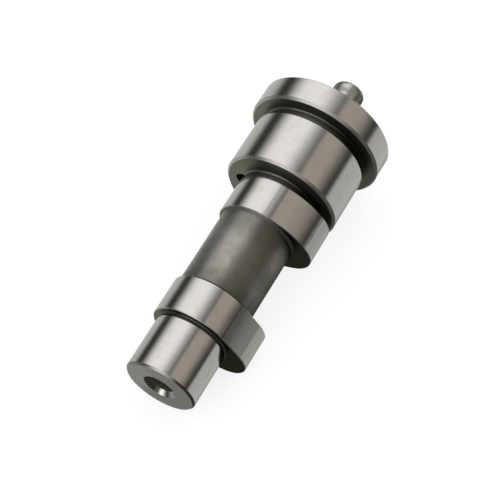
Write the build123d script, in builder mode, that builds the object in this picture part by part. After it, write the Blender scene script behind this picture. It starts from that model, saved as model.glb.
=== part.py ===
from build123d import *
import os
from math import acos, atan2, cos, degrees, radians, sin, sqrt, tan

# Camshaft of a small single-cylinder overhead-cam engine, lying at rest on a flat floor.
# All sizes are in millimetres. The floor is Z = 0, the shaft runs along +X and climbs towards its
# flange. Stations along the shaft are measured from the ground face of its small end.

# Small journal and the ground neck behind it, with a small cone in the corner at the first lobe
small_journal_diameter = 20.0
small_journal_length = 15.4
small_journal_chamfer = 0.55
lower_neck_depth = 0.25
lower_neck_length = 0.9
lower_neck_flare = 0.35

# Cam lobes: base circle, two flank arcs and a nose arc, each tangent to the next
base_circle_diameter = 23.1
lobe_width = 10.7
first_lobe_lift = 4.75
first_nose_radius = 7.6
first_flank_radius = 103.5
second_lobe_lift = 4.6
second_nose_radius = 8.6
second_flank_radius = 19.0
second_lobe_phase = -14.4
lobe_edge_break = 0.2
lobe_root_depth = 0.35

# As-forged shaft between the lobes, below their base circle, with a short flare at each end
shaft_depth = 0.95
shaft_length = 23.5
shaft_flare = 0.6

# Large journal, which lets the lobes pass through its bearing, with a neck in front of it and the
# retaining plate's groove behind it
upper_neck_depth = 0.55
upper_neck_length = 2.0
upper_neck_fillet = 0.5
lobe_pass_clearance = 0.1
large_journal_length = 16.1
collar_chamfer = 0.65
journal_edge_break = 0.2
plate_groove_depth = 1.4
plate_groove_width = 2.9
plate_groove_fillet = 0.5

# Flange that carries the chain wheel
flange_height = 2.85
flange_thickness = 7.8
flange_back_chamfer = 0.5

# Blind bore in the large journal's lower face, which also cuts into the neck in front of it
neck_bore_diameter = 5.0
neck_bore_depth = 6.0
neck_bore_circle_radius = 10.9
neck_bore_phase = 160.3

# Blind hole in the small end, with a wide sink
end_hole_diameter = 6.8
end_hole_depth = 16.0
end_sink_diameter = 9.2

# Tapped hole for the chain wheel's bolt, modelled at the thread's minor diameter
bolt_hole_diameter = 6.8
bolt_hole_depth = 22.0
bolt_sink_diameter = 9.4

# Cones of both these holes
sink_angle = 90.0
drill_point_angle = 118.0

# Locating pin, pressed into the flange
pin_diameter = 8.8
pin_circle_radius = 12.3
pin_phase = -96.2
pin_protrusion = 6.6
pin_seat_depth = 6.0
pin_crown_radius = 10.0
pin_crown_fillet = 1.8
pin_foot_chamfer = 0.5
pin_clearance = 0.01

# Stations along the shaft
lower_neck_start = small_journal_length
first_lobe_start = lower_neck_start + lower_neck_length
shaft_start = first_lobe_start + lobe_width
second_lobe_start = shaft_start + shaft_length
upper_neck_start = second_lobe_start + lobe_width
large_journal_start = upper_neck_start + upper_neck_length
plate_groove_start = large_journal_start + large_journal_length
flange_start = plate_groove_start + plate_groove_width
flange_back = flange_start + flange_thickness

# Radii
small_journal_radius = small_journal_diameter / 2
lower_neck_radius = small_journal_radius - lower_neck_depth
base_circle_radius = base_circle_diameter / 2
lobe_root_radius = base_circle_radius - lobe_root_depth
shaft_radius = base_circle_radius - shaft_depth
upper_neck_radius = base_circle_radius - upper_neck_depth
lobe_tip_radius = base_circle_radius + max(first_lobe_lift, second_lobe_lift)
large_journal_radius = lobe_tip_radius + lobe_pass_clearance
plate_groove_radius = large_journal_radius - plate_groove_depth
flange_radius = large_journal_radius + flange_height
pin_radius = pin_diameter / 2


def flank_centre(nose_offset, nose_radius, flank_radius):
    """Centre of a flank arc that is tangent to the base circle and to a nose arc on the X axis."""
    base_to_flank = flank_radius - base_circle_radius
    nose_to_flank = flank_radius - nose_radius
    flank_x = (base_to_flank**2 - nose_to_flank**2 + nose_offset**2) / (2 * nose_offset)
    return (flank_x, -sqrt(base_to_flank**2 - flank_x**2))


# Rest: the floor touches the corner of the small journal, the corner of the flange and one side of
# the first lobe, so the shaft climbs by rest_tilt and the nose stays clear of the lowest line by
# rest_roll. The lobe stands on its nose arc, or past the end of that on its flank arc.
small_contact = small_journal_chamfer
flange_contact = flange_start + collar_chamfer
rest_tilt = atan2(flange_radius - small_journal_radius, flange_contact - small_contact)
floor_slope = (flange_radius - small_journal_radius) / (flange_contact - small_contact)
lobe_contact = first_lobe_start + lobe_edge_break
floor_radius_at_lobe = small_journal_radius + (lobe_contact - small_contact) * floor_slope
nose_offset = base_circle_radius + first_lobe_lift - first_nose_radius
nose_roll = acos(max(0.0, min(1.0, (floor_radius_at_lobe - first_nose_radius) / nose_offset)))
flank_x, flank_y = flank_centre(nose_offset, first_nose_radius, first_flank_radius)
flank_rise = (first_flank_radius - floor_radius_at_lobe) / (first_flank_radius - base_circle_radius)
flank_roll = atan2(-flank_y, -flank_x) - acos(min(1.0, flank_rise))
rest_roll = nose_roll if nose_roll < atan2(-flank_y, nose_offset - flank_x) else flank_roll

# Directions: along the shaft, down across it, and from the shaft to the first lobe's nose
along = Vector(cos(rest_tilt), 0, sin(rest_tilt))
across_down = Vector(sin(rest_tilt), 0, -cos(rest_tilt))
to_nose = across_down * cos(rest_roll) - Vector(0, 1, 0) * sin(rest_roll)

# The box around the part is centred on X = 0, between the small end's rim and the pin's crown.
pin_down = pin_circle_radius * cos(radians(pin_phase) - rest_roll)
low_end = -(small_journal_radius - small_journal_chamfer) * sin(rest_tilt)
high_end = (
    (flange_back + pin_protrusion - pin_crown_radius) * cos(rest_tilt)
    + pin_down * sin(rest_tilt)
    + pin_crown_radius
)
small_end_height = (small_journal_radius - small_contact * floor_slope) * cos(rest_tilt)
small_end = Vector(-(low_end + high_end) / 2, 0, small_end_height)

# Planes: across the shaft at its small end, and along it with X on the axis and Y towards the nose
shaft_plane = Plane(origin=small_end, x_dir=to_nose, z_dir=along)
section_plane = Plane(origin=small_end, x_dir=along, z_dir=shaft_plane.y_dir)
shaft_axis = Axis(small_end, along)


def polar(radius, angle):
    """Point at a radius and an angle in degrees from the first lobe's nose."""
    return (radius * cos(radians(angle)), radius * sin(radians(angle)))


def corner(sketch, station, radius):
    """Corner of a section sketch nearest to a station along the shaft and a radius."""
    return sketch.vertices().sort_by_distance((station, radius))[0]


def cone_length(large_diameter, small_diameter, full_angle):
    """Length of a cone between two diameters, from its full angle in degrees."""
    return (large_diameter - small_diameter) / 2 / tan(radians(full_angle / 2))


def lobe(start, phase, lift, nose_radius, flank_radius):
    """One cam lobe: base, flank and nose arcs, each tangent to the next."""
    nose_offset = base_circle_radius + lift - nose_radius
    flank_x, flank_y = flank_centre(nose_offset, nose_radius, flank_radius)
    base_angle = degrees(atan2(-flank_y, -flank_x))
    nose_angle = degrees(atan2(-flank_y, nose_offset - flank_x))
    lobe_nose = to_nose.rotate(shaft_axis, phase)
    with BuildSketch(Plane(origin=small_end + along * start, x_dir=lobe_nose, z_dir=along)) as outline:
        with BuildLine():
            CenterArc((0, 0), base_circle_radius, base_angle, 180 - base_angle)
            CenterArc((flank_x, flank_y), flank_radius, nose_angle, base_angle - nose_angle)
            CenterArc((nose_offset, 0), nose_radius, 0, nose_angle)
            mirror(about=Plane.XZ)
        make_face()
    extrude(outline.sketch, amount=lobe_width)


# Stations inside the end hole and the bolt hole, and the pin's foot
end_sink_end = cone_length(end_sink_diameter, end_hole_diameter, sink_angle)
end_hole_tip = end_hole_depth + cone_length(end_hole_diameter, 0, drill_point_angle)
bolt_sink_end = flange_back - cone_length(bolt_sink_diameter, bolt_hole_diameter, sink_angle)
bolt_hole_end = flange_back - bolt_hole_depth
bolt_hole_tip = bolt_hole_end - cone_length(bolt_hole_diameter, 0, drill_point_angle)
pin_foot = flange_back - pin_seat_depth

with BuildPart() as camshaft:
    # Lobes, with their ground edges broken all round
    lobe(first_lobe_start, 0, first_lobe_lift, first_nose_radius, first_flank_radius)
    lobe(second_lobe_start, second_lobe_phase, second_lobe_lift, second_nose_radius, second_flank_radius)
    chamfer(camshaft.edges().filter_by(shaft_axis, reverse=True), lobe_edge_break)

    # Turned body, from half of its section
    with BuildSketch(section_plane) as section:
        with BuildLine():
            Polyline(
                (0, 0),
                (0, small_journal_radius),
                (lower_neck_start, small_journal_radius),
                (lower_neck_start, lower_neck_radius),
                (first_lobe_start - lower_neck_flare, lower_neck_radius),
                (first_lobe_start, lower_neck_radius + lower_neck_flare),
                (shaft_start, lobe_root_radius),
                (shaft_start + shaft_flare, shaft_radius),
                (second_lobe_start - shaft_flare, shaft_radius),
                (second_lobe_start, lobe_root_radius),
                (upper_neck_start, upper_neck_radius),
                (large_journal_start, upper_neck_radius),
                (large_journal_start, large_journal_radius),
                (plate_groove_start, large_journal_radius),
                (plate_groove_start, plate_groove_radius),
                (flange_start, plate_groove_radius),
                (flange_start, flange_radius),
                (flange_back, flange_radius),
                (flange_back, 0),
                close=True,
            )
        make_face()
        chamfer(corner(section, 0, small_journal_radius), small_journal_chamfer)
        chamfer(corner(section, lower_neck_start, small_journal_radius), journal_edge_break)
        chamfer(corner(section, large_journal_start, large_journal_radius), collar_chamfer)
        chamfer(corner(section, plate_groove_start, large_journal_radius), journal_edge_break)
        chamfer(corner(section, flange_start, flange_radius), collar_chamfer)
        chamfer(corner(section, flange_back, flange_radius), flange_back_chamfer)
        fillet(corner(section, large_journal_start, upper_neck_radius), upper_neck_fillet)
        fillet(corner(section, flange_start, plate_groove_radius), plate_groove_fillet)
    revolve(axis=shaft_axis)

    # Blind hole in the small end
    with BuildSketch(section_plane):
        with BuildLine():
            Polyline(
                (0, 0),
                (0, end_sink_diameter / 2),
                (end_sink_end, end_hole_diameter / 2),
                (end_hole_depth, end_hole_diameter / 2),
                (end_hole_tip, 0),
                close=True,
            )
        make_face()
    revolve(axis=shaft_axis, mode=Mode.SUBTRACT)

    # Tapped hole in the flange
    with BuildSketch(section_plane):
        with BuildLine():
            Polyline(
                (flange_back, 0),
                (flange_back, bolt_sink_diameter / 2),
                (bolt_sink_end, bolt_hole_diameter / 2),
                (bolt_hole_end, bolt_hole_diameter / 2),
                (bolt_hole_tip, 0),
                close=True,
            )
        make_face()
    revolve(axis=shaft_axis, mode=Mode.SUBTRACT)

    # Blind bore beside the neck
    with BuildSketch(shaft_plane.offset(upper_neck_start)):
        with Locations(polar(neck_bore_circle_radius, neck_bore_phase)):
            Circle(neck_bore_diameter / 2)
    extrude(amount=upper_neck_length + neck_bore_depth, mode=Mode.SUBTRACT)

    # Blind hole for the locating pin
    with BuildSketch(shaft_plane.offset(flange_back)):
        with Locations(polar(pin_circle_radius, pin_phase)):
            Circle(pin_radius + pin_clearance)
    extrude(amount=-pin_seat_depth, mode=Mode.SUBTRACT)

# Locating pin, turned about its own axis, with a crowned end and a chamfered foot
pin_centre = shaft_plane.from_local_coords(polar(pin_circle_radius, pin_phase) + (pin_foot,))
pin_plane = Plane(origin=pin_centre, x_dir=along, z_dir=shaft_plane.y_dir)
pin_length = pin_seat_depth + pin_protrusion
pin_shoulder = pin_length - pin_crown_radius + sqrt(pin_crown_radius**2 - pin_radius**2)
with BuildPart() as locating_pin:
    with BuildSketch(pin_plane) as pin_section:
        with BuildLine():
            Polyline((pin_length, 0), (0, 0), (0, pin_radius), (pin_shoulder, pin_radius))
            RadiusArc((pin_shoulder, pin_radius), (pin_length, 0), pin_crown_radius)
        make_face()
        chamfer(corner(pin_section, 0, pin_radius), pin_foot_chamfer)
        fillet(corner(pin_section, pin_shoulder, pin_radius), pin_crown_fillet)
    revolve(axis=Axis(pin_centre, along))

camshaft.part.label = "camshaft"
locating_pin.part.label = "locating_pin"

os.makedirs("parts", exist_ok=True)
export_step(camshaft.part, "parts/camshaft.step")
export_step(locating_pin.part, "parts/locating_pin.step")
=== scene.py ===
import math
from types import SimpleNamespace

import bpy
from mathutils import Matrix, Vector


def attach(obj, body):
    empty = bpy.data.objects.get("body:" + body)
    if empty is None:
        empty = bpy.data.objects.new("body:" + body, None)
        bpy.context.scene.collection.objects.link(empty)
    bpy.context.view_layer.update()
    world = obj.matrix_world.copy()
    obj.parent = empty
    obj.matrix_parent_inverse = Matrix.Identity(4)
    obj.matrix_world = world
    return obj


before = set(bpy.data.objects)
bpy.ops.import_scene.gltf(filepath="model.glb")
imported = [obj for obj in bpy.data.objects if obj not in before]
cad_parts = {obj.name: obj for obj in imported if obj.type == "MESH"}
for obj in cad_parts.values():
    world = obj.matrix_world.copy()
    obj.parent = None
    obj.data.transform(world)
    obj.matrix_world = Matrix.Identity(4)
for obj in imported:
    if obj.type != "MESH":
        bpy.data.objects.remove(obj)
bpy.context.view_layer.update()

# The shaft's axis, from the middle of the small journal's end towards the flange, in metres.
SMALL_END = Vector((-0.0468671, 0.0, 0.0098760))
ALONG = Vector((0.9937430, 0.0, 0.1116904))
ABOVE = Vector((-0.1116904, 0.0, 0.9937430))
NEAR_SIDE = Vector((0.0, -1.0, 0.0))
MM = 0.001

# Stations along the axis and radii, in millimetres, as in the model.
NECK_START, LOBE_1_START = 15.4, 16.3
SHAFT_START, SHAFT_END = 27.0, 50.5
LOBE_2_END, LARGE_JOURNAL_START = 61.2, 63.2
GROOVE_START, FLANGE_START = 79.3, 82.2
BOLT_SINK_END = 88.7
FORGED_RADIUS, BASE_RADIUS, GROOVE_RADIUS = 10.6, 11.55, 15.0

# Directions round the axis are in degrees: 0 is straight above, 90 is level on the near side.
# A range of them is its start, its end, and the softness of each.


# ---------------------------------------------------------------- nodes

# The Mix node's two inputs and its output, for colours and for numbers.
MIX_SOCKETS = {"RGBA": (6, 7, 2), "FLOAT": (2, 3, 0)}
# Most values of a noise lie between these.
NOISE_RANGE = (0.2, 0.8)


class Graph:
    """A node tree that is written as plain calls."""

    def __init__(self, tree):
        self.tree = tree
        tree.nodes.clear()

    def node(self, kind, values=None, **settings):
        made = self.tree.nodes.new(kind)
        for name, value in settings.items():
            setattr(made, name, value)
        for name, value in (values or {}).items():
            self.put(made.inputs[name], value)
        return made

    def put(self, socket, value):
        if isinstance(value, bpy.types.NodeSocket):
            self.tree.links.new(value, socket)
        else:
            socket.default_value = value

    def math(self, operation, first, second=0.0):
        made = self.node("ShaderNodeMath", {0: first, 1: second}, operation=operation)
        return made.outputs[0]

    def times(self, first, *others):
        for other in others:
            first = self.math("MULTIPLY", first, other)
        return first

    def most(self, first, *others):
        for other in others:
            first = self.math("MAXIMUM", first, other)
        return first

    def size(self, value):
        return self.math("ABSOLUTE", value)

    def vector(self, operation, first, second=(0.0, 0.0, 0.0)):
        made = self.node("ShaderNodeVectorMath", {0: first, 1: second}, operation=operation)
        return made.outputs["Value" if operation in ("DOT_PRODUCT", "LENGTH") else "Vector"]

    def dot(self, first, second):
        return self.vector("DOT_PRODUCT", first, second)

    def scaled(self, vector, factor):
        values = {"Vector": vector, "Scale": factor}
        return self.node("ShaderNodeVectorMath", values, operation="SCALE").outputs["Vector"]

    def turn(self, side, above):
        """The direction round the axis, from the parts that point to the near side and up."""
        return self.math("DEGREES", self.math("ARCTAN2", side, above))

    def rise(self, value, start, end, low=0.0, high=1.0):
        """Low before start, high after end, and a smooth step between them."""
        made = self.node(
            "ShaderNodeMapRange",
            {"Value": value, "From Min": start, "From Max": end, "To Min": low, "To Max": high},
            interpolation_type="SMOOTHSTEP",
        )
        return made.outputs["Result"]

    def fall(self, value, start, end):
        return self.rise(value, start, end, 1.0, 0.0)

    def spread(self, noise, low, high):
        """Noise, stretched from low to high."""
        return self.rise(noise, *NOISE_RANGE, low, high)

    def within(self, value, start, end, soft_start, soft_end):
        """One between start and end, and nothing outside, with soft sides round both."""
        up = self.rise(value, start - soft_start, start + soft_start)
        return self.times(up, self.fall(value, end - soft_end, end + soft_end))

    def inside(self, value, start, end, margin):
        """As within, but the soft sides lie inside the range."""
        return self.within(value, start + margin, end - margin, margin, margin)

    def mixed(self, kind, factor, first, second):
        made = self.node("ShaderNodeMix", {"Factor": factor}, data_type=kind)
        one, other, result = MIX_SOCKETS[kind]
        self.put(made.inputs[one], first)
        self.put(made.inputs[other], second)
        return made.outputs[result]

    def mix(self, factor, first, second):
        return self.mixed("RGBA", factor, first, second)

    def blend(self, factor, first, second):
        """As mix, but of numbers."""
        return self.mixed("FLOAT", factor, first, second)

    def stained(self, under, pattern, strength, tone):
        return self.mix(self.times(pattern, strength), under, tone)

    def patched(self, under, pattern, start, end, strength, tone):
        """A tone laid over another where a pattern is high."""
        return self.mix(self.rise(pattern, start, end, 0.0, strength), under, tone)

    def lay(self, under, turn, sides, mask=None):
        """Tones laid over another by direction: each has its range, its strength and itself."""
        for reach, strength, tone in sides:
            share = self.times(self.within(turn, *reach), strength)
            if mask is not None:
                share = self.times(share, mask)
            under = self.mix(share, under, tone)
        return under

    def join(self, x, y, z):
        return self.node("ShaderNodeCombineXYZ", {0: x, 1: y, 2: z}).outputs[0]

    def noise(self, vector, scale, detail, roughness):
        values = {"Vector": vector, "Scale": scale, "Detail": detail, "Roughness": roughness}
        return self.node("ShaderNodeTexNoise", values).outputs[0]

    def bump(self, height, **more):
        values = {"Strength": 1.0, "Distance": MM, "Height": height, **more}
        return self.node("ShaderNodeBump", values).outputs[0]

    def finish(self, kind, surface):
        self.put(self.node(kind).inputs["Surface"], surface)


def colour(red, green, blue):
    return (red, green, blue, 1.0)


def new_material(name):
    material = bpy.data.materials.new(name)
    material.use_nodes = True
    return material, Graph(material.node_tree)


def seen_rays(g):
    """One for the rays that show the background: to the camera, in metal and through glass."""
    path = g.node("ShaderNodeLightPath")
    kinds = ("Is Camera Ray", "Is Glossy Ray", "Is Transmission Ray")
    return path, g.most(*(path.outputs[kind] for kind in kinds))


# ---------------------------------------------------------------- studio

WHITE = colour(1.0, 1.0, 1.0)
PLAIN_LIGHT = colour(0.9, 0.9, 0.9)
SURROUNDINGS = colour(0.69, 0.69, 0.66)
# What shiny surfaces see straight below the shaft, and beyond its two ends.
UNDER_SHAFT, UNDERSIDE = colour(0.46, 0.45, 0.43), (158.0, 172.0)
END_GLOW, END_ON = colour(0.75, 0.75, 0.73), (0.94, 0.99)
# Soft boxes and black flags, long and parallel to the shaft, each laid over the ones before.
STUDIO = [
    ((-95.0, 98.0, 12.0, 6.0), colour(0.06, 0.058, 0.052)),
    ((-58.5, 10.5, 17.0, 24.0), colour(1.34, 1.328, 1.32)),
    ((-38.0, -6.0, 14.0, 14.0), colour(1.47, 1.457, 1.45)),
    ((27.0, 74.0, 6.0, 19.0), colour(0.58, 0.525, 0.472)),
]
# A dark card that stands off the small end, low on the near side.
LOW_CARD = colour(0.14, 0.136, 0.128)
LOW_CARD_TOP, LOW_CARD_END = (46.0, 62.0), (0.05, 0.3)

FLOOR_HALF = 6.0
FLOOR_PAPER = colour(0.30, 0.30, 0.30)
FLOOR_WHITE = 0.79


def make_world():
    world = bpy.data.worlds.new("studio")
    world.use_nodes = True
    world.cycles.sampling_method = "NONE"
    g = Graph(world.node_tree)
    ray = g.node("ShaderNodeTexCoord").outputs["Generated"]
    lengthwise = g.dot(ray, ALONG)
    angle = g.turn(g.dot(ray, NEAR_SIDE), g.dot(ray, ABOVE))
    seen = g.mix(g.rise(g.size(angle), *UNDERSIDE), SURROUNDINGS, UNDER_SHAFT)
    for reach, tone in STUDIO:
        seen = g.mix(g.within(angle, *reach), seen, tone)
    card = g.times(g.rise(angle, *LOW_CARD_TOP), g.fall(lengthwise, *LOW_CARD_END))
    seen = g.mix(card, seen, LOW_CARD)
    seen = g.mix(g.rise(g.size(lengthwise), *END_ON), seen, END_GLOW)
    path, shown = seen_rays(g)
    background = g.mix(path.outputs["Is Camera Ray"], seen, WHITE)
    light = g.mix(shown, PLAIN_LIGHT, background)
    shader = g.node("ShaderNodeBackground", {"Color": light, "Strength": 1.0})
    g.finish("ShaderNodeOutputWorld", shader.outputs[0])
    bpy.context.scene.world = world


def make_floor():
    corners = [
        (across * FLOOR_HALF, deep * FLOOR_HALF, 0.0)
        for across, deep in ((-1, -1), (1, -1), (1, 1), (-1, 1))
    ]
    mesh = bpy.data.meshes.new("floor")
    mesh.from_pydata(corners, [], [(0, 1, 2, 3)])
    floor = bpy.data.objects.new("floor", mesh)
    bpy.context.scene.collection.objects.link(floor)
    material, g = new_material("floor_paper")
    paper = g.node("ShaderNodeBsdfDiffuse", {"Color": FLOOR_PAPER})
    glow = g.times(seen_rays(g)[1], FLOOR_WHITE)
    white = g.node("ShaderNodeEmission", {"Color": WHITE, "Strength": glow})
    both = g.node("ShaderNodeAddShader", {0: paper.outputs[0], 1: white.outputs[0]})
    g.finish("ShaderNodeOutputMaterial", both.outputs[0])
    mesh.materials.append(material)
    floor.visible_glossy = False


# ---------------------------------------------------------------- the shaft's surfaces

# Soft sides of the ranges of stations, in millimetres.
FINE_MARGIN, LOBE_MARGIN = 0.02, 0.05
# The flared ends of the forged shaft stay below the first radius.
FLARE_RADIUS = (11.35, 11.4)
CORNER_RADIUS = (FORGED_RADIUS + 0.05, FORGED_RADIUS + 0.2)
GROOVE_FILLET_RADIUS = (GROOVE_RADIUS + 0.5, GROOVE_RADIUS + 0.8)
LIFT_RADIUS = (BASE_RADIUS + 0.02, BASE_RADIUS + 0.4)
# The broken edge of the second lobe, round the shaft.
RIM_STATION = (SHAFT_END + FINE_MARGIN, SHAFT_END + 0.2)
RIM_RADIUS = (BASE_RADIUS - 0.25, BASE_RADIUS - 0.2)
# The small end: its sink, the bore below it, the chamfer, and where its face is left behind.
SINK_STATION, SINK_RADIUS = (2.6, 2.8), (5.0, 5.1)
BORE_STATION, BORE_RADIUS = (20.0, 21.0), (3.42, 3.48)
CHAMFER_STATION, CHAMFER_RADIUS = (1.2, 1.4), (8.6, 8.8)
PAST_END_FACE = (0.9, 1.1)
# How squarely a surface faces along the axis.
SQUARE, WALL_TO_BEVEL, BEVEL = (0.86, 0.95), (0.25, 0.45), (0.3, 0.5)

# The side of the shaft that is turned away from the soft boxes, and the side they light.
LEE = (66.0, 160.0, 22.0, 22.0)
LIT = (-125.0, -38.0, 28.0, 28.0)
LOW_SIDE = (30.0, 150.0, 20.0, 25.0)
FIRST_FLANK = (57.0, 105.0, 2.5, 6.0)


def shaft_place(g):
    """Where a point of the shaft is, and which way it faces."""
    place = g.node("ShaderNodeTexCoord")
    from_end = g.vector("SUBTRACT", place.outputs["Object"], SMALL_END)
    distance = g.dot(from_end, ALONG)
    outward = g.vector("SUBTRACT", from_end, g.scaled(ALONG, distance))
    direction = g.vector("NORMALIZE", outward)
    side, above = g.dot(direction, NEAR_SIDE), g.dot(direction, ABOVE)
    normal = place.outputs["Normal"]
    return SimpleNamespace(
        point=place.outputs["Object"],
        normal=normal,
        station=g.math("DIVIDE", distance, MM),
        radius=g.math("DIVIDE", g.vector("LENGTH", outward), MM),
        side=side,
        above=above,
        turn=g.turn(side, above),
        facing=g.dot(normal, ALONG),
    )


def shaft_masks(g, at):
    """One on a kind of surface, and nothing elsewhere."""
    station, radius = at.station, at.radius
    endwise = g.size(at.facing)
    wall = g.fall(endwise, *WALL_TO_BEVEL)
    shaft = g.times(
        g.inside(station, SHAFT_START, SHAFT_END, FINE_MARGIN),
        g.fall(radius, *FLARE_RADIUS),
    )
    groove = g.times(
        g.inside(station, GROOVE_START, FLANGE_START, FINE_MARGIN),
        g.fall(radius, *GROOVE_FILLET_RADIUS),
    )
    necks = [
        g.inside(station, start, end, FINE_MARGIN)
        for start, end in ((NECK_START, LOBE_1_START), (LOBE_2_END, LARGE_JOURNAL_START))
    ]
    facing_small_end = g.fall(at.facing, -SQUARE[1], -SQUARE[0])
    return SimpleNamespace(
        flat=g.rise(endwise, *SQUARE),
        wall=wall,
        shaft=shaft,
        corner=g.times(shaft, g.rise(radius, *CORNER_RADIUS)),
        inner_face=g.times(facing_small_end, g.rise(station, *PAST_END_FACE)),
        sink=g.times(g.fall(station, *SINK_STATION), g.fall(radius, *SINK_RADIUS)),
        bore=g.times(g.fall(station, *BORE_STATION), g.fall(radius, *BORE_RADIUS)),
        small_edge=g.times(
            g.fall(station, *CHAMFER_STATION),
            g.rise(radius, *CHAMFER_RADIUS),
            g.rise(endwise, *BEVEL),
        ),
        cut=g.most(*necks, groove),
        first_lobe=g.times(
            g.inside(station, LOBE_1_START, SHAFT_START, LOBE_MARGIN),
            g.most(g.rise(radius, *LIFT_RADIUS), g.within(at.turn, *FIRST_FLANK)),
            wall,
        ),
        second_lobe=g.times(g.inside(station, SHAFT_END, LOBE_2_END, LOBE_MARGIN), wall),
        second_rim=g.times(
            g.within(station, *RIM_STATION, FINE_MARGIN, FINE_MARGIN),
            g.rise(radius, *RIM_RADIUS),
        ),
        lee=g.within(at.turn, *LEE),
        lit=g.within(at.turn, *LIT),
    )


# Tool marks: how often they change across, and round the shaft, then detail and roughness.
FINE_MARKS = ((9.0, 0.9, 0.9), 3.0, 0.6)
COARSE_MARKS = ((1.6, 0.5, 0.5), 2.0, 0.5)
RING_MARKS = ((5.5, 0.25, 0.25), 2.0, 0.5)
# Patterns in the steel: scale, detail and roughness.
CLOUD = (120.0, 3.0, 0.5)
GRAIN = (1900.0, 3.0, 0.6)
PITS = (520.0, 3.0, 0.55)
STAIN = (300.0, 4.0, 0.62)
# The values between which a stain fades in, and between which the forged skin's clouds vary.
STAIN_EDGE, FORGED_CLOUD = (0.48, 0.66), (0.3, 0.7)


def shaft_patterns(g, at, on):
    """Tool marks run round the shaft on walls, and in rings on faces."""
    across = g.blend(on.flat, at.station, at.radius)
    place = g.join(across, at.side, at.above)

    def marks(stretch, detail, roughness):
        return g.noise(g.vector("MULTIPLY", place, stretch), 1.0, detail, roughness)

    return SimpleNamespace(
        fine=marks(*FINE_MARKS),
        coarse=marks(*COARSE_MARKS),
        rings=marks(*RING_MARKS),
        cloud=g.noise(at.point, *CLOUD),
        grain=g.noise(at.point, *GRAIN),
        pits=g.noise(at.point, *PITS),
        stain=g.rise(g.noise(at.point, *STAIN), *STAIN_EDGE),
    )


# ---------------------------------------------------------------- the shaft's tones

# Darkest and lightest tone of each finish, and of painted shade and light; the forged shaft's
# corners, in painted shade, go from one to the other along it.
GROUND = (colour(0.485, 0.475, 0.455), colour(0.53, 0.52, 0.50))
SATIN = (colour(0.41, 0.40, 0.375), colour(0.53, 0.52, 0.49))
TURNED = (colour(0.262, 0.252, 0.232), colour(0.381, 0.364, 0.337))
# The faces that look to the small end: painted shade, and painted light on their lit side.
INNER_FACE_SHADE = (colour(0.10, 0.098, 0.082), colour(0.17, 0.166, 0.141))
INNER_FACE_LIGHT = (colour(0.21, 0.207, 0.185), colour(0.31, 0.305, 0.274))
EDGE = (colour(0.40, 0.39, 0.37), colour(0.50, 0.49, 0.47))
# The necks and the groove: painted shade in the recesses.
TROUGH_SHADE = (colour(0.11, 0.107, 0.092), colour(0.19, 0.185, 0.16))
FORGED = (colour(0.20, 0.195, 0.172), colour(0.33, 0.32, 0.29))
# Painted shade in the forged shaft's flared corners beside the lobes.
CORNER_SHADE = (colour(0.06, 0.058, 0.054), colour(0.15, 0.145, 0.135))

# Laid over them. A patch is the two values of its pattern where it starts and is full, its
# strength and its tone; a stain or a dark place is a strength and a tone, or a tone alone.
GROUND_PATCH = (0.35, 0.75, 0.2, colour(0.45, 0.435, 0.41))
GROUND_STAIN = (0.5, colour(0.45, 0.42, 0.385))
SATIN_STAIN = (0.35, colour(0.42, 0.397, 0.36))
TURNED_STAIN = (0.4, colour(0.26, 0.24, 0.205))
TURNED_PATCH = (0.35, 0.7, 0.5, colour(0.225, 0.217, 0.20))
TURNED_SHADE = colour(0.17, 0.165, 0.153)
# Painted shade, darker still, on the lobes' faces that look to the small end.
LOBE_FACE_SHADE = (0.68, colour(0.012, 0.0115, 0.0105))
TROUGH_SHADOW = colour(0.03, 0.029, 0.026)
FORGED_PATCH = (0.50, 0.78, 0.35, colour(0.16, 0.155, 0.145))
# Painted shade at the forged shaft's ends beside the lobes.
FORGED_ENDS_SHADE = (0.42, colour(0.10, 0.098, 0.087))
# A patch of painted light on the forged shaft.
FORGED_LIGHT_PATCH = (0.4, colour(0.42, 0.41, 0.385))
SINK = colour(0.72, 0.71, 0.68)
BORE = colour(0.24, 0.225, 0.17)

# Painted light and shade laid over them by direction: range, strength and tone.
# On the first lobe's flank: a painted highlight and a band of painted shade.
SATIN_LIGHT_AND_SHADE = [
    ((76.0, 93.0, 8.0, 3.0), 0.35, colour(0.64, 0.63, 0.595)),
    ((57.0, 67.0, 2.5, 7.0), 0.52, colour(0.15, 0.147, 0.138)),
]
# Forged shaft: painted shade on its lee, its low side and a dark reflection band; painted light
# on its lit side.
FORGED_LIGHT_AND_SHADE = [
    (LEE, 0.36, colour(0.10, 0.098, 0.087)),
    ((14.0, 52.0, 12.0, 12.0), 0.58, colour(0.09, 0.087, 0.075)),
    ((-140.0, -53.0, 30.0, 9.0), 0.75, colour(0.45, 0.44, 0.42)),
    ((-22.0, -10.0, 8.0, 8.0), 0.24, colour(0.45, 0.44, 0.42)),
    ((97.0, 150.0, 6.0, 6.0), 0.45, colour(0.04, 0.039, 0.035)),
]
# Painted shade on two sides of the sink, leaving its bright tone between them.
SINK_SHADE_SIDES = [
    ((-169.0, -30.0, 8.0, 8.0), 1.0, colour(0.17, 0.163, 0.125)),
    ((60.0, 160.0, 8.0, 8.0), 1.0, colour(0.30, 0.295, 0.28)),
]
# Painted shade on one side of the second lobe, at its nose.
SECOND_NOSE_SHADE = [((80.5, 140.0, 1.5, 25.0), 0.5, colour(0.30, 0.295, 0.28))]
# Painted shade on most of the second lobe's broken lower edge.
SECOND_RIM_SHADE = [((-17.0, 150.0, 11.0, 25.0), 1.0, colour(0.14, 0.136, 0.125))]
# Painted dark reflections on two sides of the small end's chamfer.
SMALL_EDGE_REFLECTIONS = [
    ((34.0, 112.0, 10.0, 10.0), 1.0, colour(0.16, 0.155, 0.145)),
    ((-95.0, -22.0, 14.0, 14.0), 1.0, colour(0.21, 0.205, 0.185)),
]
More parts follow.
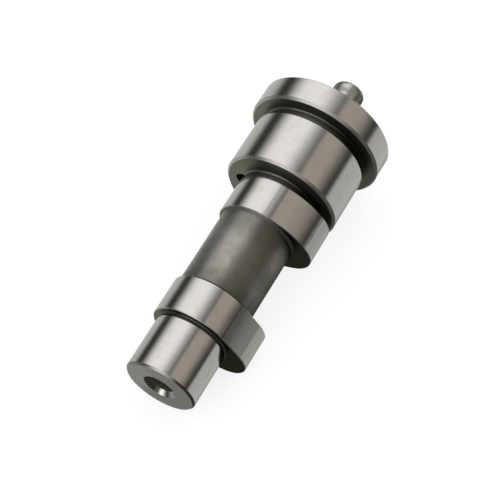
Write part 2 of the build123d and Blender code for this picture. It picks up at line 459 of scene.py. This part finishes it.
# Painted shade on the pin's shaded side.
PIN_SHADE_SIDE = [((56.0, 130.0, 22.0, 22.0), 1.0, colour(0.16, 0.156, 0.145))]

# The light side of the small end's face, and how strong the shade is off it and on other faces.
END_FACE_LIGHT = (-130.0, 8.0, 18.0, 45.0)
END_FACE_SHADE, OTHER_FACES_SHADE, END_FACE_STATION = 0.84, 0.3, (0.5, 1.0)
# Shadow in the necks and the groove, off their low side and on it, by the end they are at.
LARGE_END_SHADOW, SMALL_END_SHADOW = (0.0, 0.85), (0.75, 0.1)
# A patch of painted light on the forged shaft: stations, then directions.
LIGHT_PATCH_STATION, LIGHT_PATCH_SIDE = (35.0, 43.0, 4.0, 4.0), (-18.0, 6.0, 12.0, 12.0)
# Where painted shade darkens the forged shaft at its ends, and where its corners change their
# tone.
FIRST_DARK_END = (SHAFT_START, SHAFT_START + 8.0)
SECOND_DARK_END = (SHAFT_END - 8.0, SHAFT_END - 1.0)
MID_SHAFT = (40.0, 45.0)
LOBE_FACES_END = (LOBE_2_END, LARGE_JOURNAL_START - 0.5)


def turned_tone(g, at, pattern):
    """The small end's face and the faces that look to the flange."""
    tone = g.mix(pattern.rings, *TURNED)
    tone = g.stained(tone, pattern.stain, *TURNED_STAIN)
    tone = g.patched(tone, pattern.cloud, *TURNED_PATCH)
    shade = g.blend(g.within(at.turn, *END_FACE_LIGHT), END_FACE_SHADE, 0.0)
    shade = g.blend(g.rise(at.station, *END_FACE_STATION), shade, OTHER_FACES_SHADE)
    return g.mix(shade, tone, TURNED_SHADE)


def inner_face_shade_tone(g, at, on, pattern):
    """The faces that look to the small end: painted shade, darker still on the lobes, and
    painted light on their lit side.
    """
    strength, dark = LOBE_FACE_SHADE
    lobes = g.rise(at.station, *LOBE_FACES_END, strength, 0.0)
    tone = g.mix(lobes, g.mix(pattern.rings, *INNER_FACE_SHADE), dark)
    return g.mix(on.lit, tone, g.mix(pattern.rings, *INNER_FACE_LIGHT))


def trough_tone(g, at, pattern):
    """The necks and the groove, in painted shade, with painted shadow deeper on their low side.
    """
    near_small_end = g.fall(at.station, LOBE_1_START, SHAFT_START)
    low_side = g.within(at.turn, *LOW_SIDE)
    shadow = g.blend(
        near_small_end,
        g.blend(low_side, *LARGE_END_SHADOW),
        g.blend(low_side, *SMALL_END_SHADOW),
    )
    return g.mix(shadow, g.mix(pattern.rings, *TROUGH_SHADE), TROUGH_SHADOW)


def forged_tone(g, at, pattern):
    """The shaft between the lobes: clouds and pits, with painted light and shade round it and
    painted shade at its ends.
    """
    tone = g.mix(g.rise(pattern.cloud, *FORGED_CLOUD), *FORGED)
    tone = g.patched(tone, pattern.pits, *FORGED_PATCH)
    # Painted light and shade round the shaft.
    tone = g.lay(tone, at.turn, FORGED_LIGHT_AND_SHADE)
    # Painted shade at both ends of the shaft.
    strength, dark = FORGED_ENDS_SHADE
    tone = g.mix(g.rise(at.station, *FIRST_DARK_END, strength, 0.0), tone, dark)
    tone = g.mix(g.rise(at.station, *SECOND_DARK_END, 0.0, strength), tone, dark)
    # A patch of painted light on the shaft.
    light_patch = g.times(g.within(at.station, *LIGHT_PATCH_STATION), g.within(at.turn, *LIGHT_PATCH_SIDE))
    return g.stained(tone, light_patch, *FORGED_LIGHT_PATCH)


def shaft_tone(g, at, on, pattern):
    ground = g.mix(pattern.fine, *GROUND)
    ground = g.patched(ground, pattern.coarse, *GROUND_PATCH)
    ground = g.stained(ground, pattern.stain, *GROUND_STAIN)
    satin = g.stained(g.mix(pattern.grain, *SATIN), pattern.stain, *SATIN_STAIN)
    satin = g.lay(satin, at.turn, SATIN_LIGHT_AND_SHADE)

    tone = g.mix(on.wall, g.mix(pattern.fine, *EDGE), ground)
    tone = g.mix(on.first_lobe, tone, satin)
    tone = g.mix(on.sink, tone, SINK)
    tone = g.lay(tone, at.turn, SINK_SHADE_SIDES, on.sink)
    tone = g.lay(tone, at.turn, SECOND_NOSE_SHADE, on.second_lobe)
    tone = g.lay(tone, at.turn, SMALL_EDGE_REFLECTIONS, on.small_edge)
    tone = g.mix(on.bore, tone, BORE)
    tone = g.mix(on.flat, tone, turned_tone(g, at, pattern))
    tone = g.mix(on.cut, tone, trough_tone(g, at, pattern))
    tone = g.mix(on.shaft, tone, forged_tone(g, at, pattern))
    tone = g.lay(tone, at.turn, SECOND_RIM_SHADE, on.second_rim)
    # Painted shade in the forged shaft's corners.
    tone = g.mix(on.corner, tone, g.mix(g.rise(at.station, *MID_SHAFT), *CORNER_SHADE))
    # Painted shade on the faces that look to the small end.
    return g.mix(on.inner_face, tone, inner_face_shade_tone(g, at, on, pattern))


# ---------------------------------------------------------------- the shaft's gloss and relief

# Roughness of each finish, one value or the two ends of a spread.
EDGE_ROUGH, SINK_ROUGH, CUT_ROUGH, DULL_ROUGH = 0.28, 0.17, 0.38, 0.42
GROUND_ROUGH = (0.12, 0.16)
SATIN_ROUGH = (0.27, 0.36)
TURNED_ROUGH = (0.32, 0.42)
FORGED_ROUGH = (0.38, 0.52)

# Depths of the relief, in millimetres; the first pair is on walls and on faces.
FINE_DEPTH, RING_DEPTH = (0.0003, 0.003), 0.006
PIT_DEPTH, GRAIN_DEPTH = 0.03, 0.006

# The second lobe's near flank looks fuller than its arc where it leaves the base circle, and
# once more at the nose: ranges of directions, and how far the shading normal turns, in radians.
FLANK_START, FLANK_END, FLANK_LEAN = (12.0, 34.0), (40.0, 66.0), 0.14
NOSE_RANGE, NOSE_LEAN = (73.5, 140.0, 4.5, 25.0), 0.032

# The bore's dirty wall is less metallic. On the lee of the forged shaft and on the faces that
# look to the small end, a shaded copy of the finish keeps little shine: painted shade.
BORE_METAL = 0.75
LEE_SHINE = colour(0.36, 0.36, 0.34)


def shaft_gloss(g, on, pattern):
    gloss = g.blend(on.wall, EDGE_ROUGH, g.spread(pattern.fine, *GROUND_ROUGH))
    gloss = g.blend(on.first_lobe, gloss, g.spread(pattern.grain, *SATIN_ROUGH))
    gloss = g.blend(on.sink, gloss, SINK_ROUGH)
    gloss = g.blend(on.flat, gloss, g.spread(pattern.rings, *TURNED_ROUGH))
    gloss = g.blend(on.cut, gloss, CUT_ROUGH)
    gloss = g.blend(on.shaft, gloss, g.spread(pattern.pits, *FORGED_ROUGH))
    return g.blend(g.most(on.inner_face, on.bore), gloss, DULL_ROUGH)


def shaft_normal(g, at, on, pattern):
    lines = g.times(pattern.fine, g.blend(on.flat, *FINE_DEPTH))
    rings = g.times(pattern.rings, on.flat, RING_DEPTH)
    rough = g.math("ADD", g.times(pattern.pits, PIT_DEPTH), g.times(pattern.grain, GRAIN_DEPTH))
    height = g.blend(on.shaft, g.math("ADD", lines, rings), rough)
    flank = g.times(g.rise(at.turn, *FLANK_START), g.fall(at.turn, *FLANK_END), FLANK_LEAN)
    nose = g.times(g.within(at.turn, *NOSE_RANGE), NOSE_LEAN)
    lean = g.times(g.math("ADD", flank, nose), on.second_lobe)
    round_axis = g.vector("CROSS_PRODUCT", ALONG, at.normal)
    tilted = g.vector("NORMALIZE", g.vector("ADD", at.normal, g.scaled(round_axis, lean)))
    return g.bump(height, Normal=tilted)


def shaft_material():
    material, g = new_material("shaft_steel_finish")
    at = shaft_place(g)
    on = shaft_masks(g, at)
    pattern = shaft_patterns(g, at, on)
    finish = {
        "Base Color": shaft_tone(g, at, on, pattern),
        "Metallic": g.blend(on.bore, 1.0, BORE_METAL),
        "Roughness": shaft_gloss(g, on, pattern),
        "Normal": shaft_normal(g, at, on, pattern),
    }
    bright = g.node("ShaderNodeBsdfPrincipled", finish)
    # A shaded copy of the finish: painted shade on the lee of the forged shaft and on the faces
    # that look to the small end.
    shaded_copy = g.node("ShaderNodeBsdfPrincipled", finish | {"Specular Tint": LEE_SHINE})
    dark = g.most(g.times(on.shaft, on.lee), on.inner_face)
    shader = g.node("ShaderNodeMixShader", {0: dark, 1: bright.outputs[0], 2: shaded_copy.outputs[0]})
    g.finish("ShaderNodeOutputMaterial", shader.outputs[0])
    return material


# ---------------------------------------------------------------- the pin

PIN = (colour(0.40, 0.39, 0.375), colour(0.49, 0.48, 0.465))
PIN_PATCH = (0.42, 0.66, 0.8, colour(0.20, 0.195, 0.18))
PIN_SHINE = colour(0.4, 0.4, 0.38)
PIN_LINES, PIN_CLOUDS = (1.0, 3.0, 0.6), (420.0, 3.0, 0.55)
PIN_LINES_PER_MM = 8.0
PIN_WALL = (0.2, 0.5)
PIN_SPREAD, PIN_ROUGH = (0.3, 0.7), (0.27, 0.36)
PIN_DEPTH = 0.012


def pin_material():
    material, g = new_material("pin_steel_finish")
    place = g.node("ShaderNodeTexCoord")
    point, normal = place.outputs["Object"], place.outputs["Normal"]
    from_end = g.vector("SUBTRACT", point, SMALL_END)
    station = g.math("DIVIDE", g.dot(from_end, ALONG), MM)
    lines = g.noise(g.join(g.times(station, PIN_LINES_PER_MM), 0.0, 0.0), *PIN_LINES)
    cloud = g.noise(point, *PIN_CLOUDS)
    tone = g.mix(lines, *PIN)
    tone = g.patched(tone, cloud, *PIN_PATCH)
    turn = g.turn(g.dot(normal, NEAR_SIDE), g.dot(normal, ABOVE))
    # Painted shade on the pin's wall.
    tone = g.lay(tone, turn, PIN_SHADE_SIDE, g.fall(g.size(g.dot(normal, ALONG)), *PIN_WALL))
    finish = {
        "Base Color": tone,
        "Metallic": 1.0,
        "Roughness": g.rise(cloud, *PIN_SPREAD, *PIN_ROUGH),
        "Specular Tint": PIN_SHINE,
        "Normal": g.bump(g.times(cloud, PIN_DEPTH)),
    }
    shader = g.node("ShaderNodeBsdfPrincipled", finish)
    g.finish("ShaderNodeOutputMaterial", shader.outputs[0])
    return material


# ---------------------------------------------------------------- the bolt hole's thread

THREAD_PITCH = 1.25
THREAD_ROOT, THREAD_CREST = 3.395, 3.15
THREAD_START, THREAD_TURNS, THREAD_FADE = 70.0, 14, 0.7
THREAD_STEPS = 48
# One pitch from root to crest and back: share of the pitch, and share of the thread's height.
THREAD_PROFILE = [(0.0, 0.0), (0.22, 0.0), (0.5, 1.0), (0.72, 1.0)]


def make_thread(material):
    """The tapped thread of the drive bolt's hole, as a helical sleeve just inside its wall."""
    points = []
    faces = []
    row = len(THREAD_PROFILE)
    steps = THREAD_TURNS * THREAD_STEPS
    for step in range(steps + 1):
        angle = 2.0 * math.pi * step / THREAD_STEPS
        outward = ABOVE * math.cos(angle) + NEAR_SIDE * math.sin(angle)
        for share, height in THREAD_PROFILE:
            station = THREAD_START + THREAD_PITCH * (step / THREAD_STEPS + share)
            station = min(station, BOLT_SINK_END)
            fade = min(1.0, (BOLT_SINK_END - station) / THREAD_FADE)
            radius = THREAD_ROOT + (THREAD_CREST - THREAD_ROOT) * height * fade
            points.append(SMALL_END + (ALONG * station + outward * radius) * MM)
    for step in range(steps):
        for place in range(row - 1):
            first = step * row + place
            faces.append((first, first + 1, first + row + 1, first + row))
    # The last point of each row meets the first of the row one turn on.
    one_turn = THREAD_STEPS * row
    for step in range(steps - THREAD_STEPS):
        first = step * row + row - 1
        faces.append((first, first + one_turn - row + 1, first + one_turn + 1, first + row))
    mesh = bpy.data.meshes.new("bolt_thread")
    mesh.from_pydata(points, [], faces)
    mesh.materials.append(material)
    piece = bpy.data.objects.new("bolt_thread", mesh)
    bpy.context.scene.collection.objects.link(piece)
    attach(piece, "root")


def dress(node, material):
    for held in node.material_slots:
        held.material = material


# ---------------------------------------------------------------- camera

CAMERA_PLACE = (-0.2128479, -0.1287946, 0.3438378)
CAMERA_RIGHT = Vector((0.4922735, -0.8701418, -0.0228050))
CAMERA_UP = Vector((0.7029484, 0.3819612, 0.5999743))
CAMERA_FORWARD = Vector((0.5133522, 0.3113822, -0.7996942))
LENS, SENSOR_WIDTH = 112.488, 36.0
CLIP_START, CLIP_END = 0.01, 50.0


def make_camera():
    camera = bpy.data.cameras.new("camera")
    camera.lens = LENS
    camera.sensor_width = SENSOR_WIDTH
    camera.clip_start = CLIP_START
    camera.clip_end = CLIP_END
    holder = bpy.data.objects.new("camera", camera)
    turn = Matrix((CAMERA_RIGHT, CAMERA_UP, -CAMERA_FORWARD)).transposed()
    holder.matrix_world = Matrix.Translation(CAMERA_PLACE) @ turn.to_4x4()
    bpy.context.scene.collection.objects.link(holder)
    bpy.context.scene.camera = holder


make_world()
make_floor()
make_camera()
steel = shaft_material()
dress(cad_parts["camshaft"], steel)
make_thread(steel)
dress(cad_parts["locating_pin"], pin_material())
bpy.context.scene.view_settings.view_transform = "Standard"
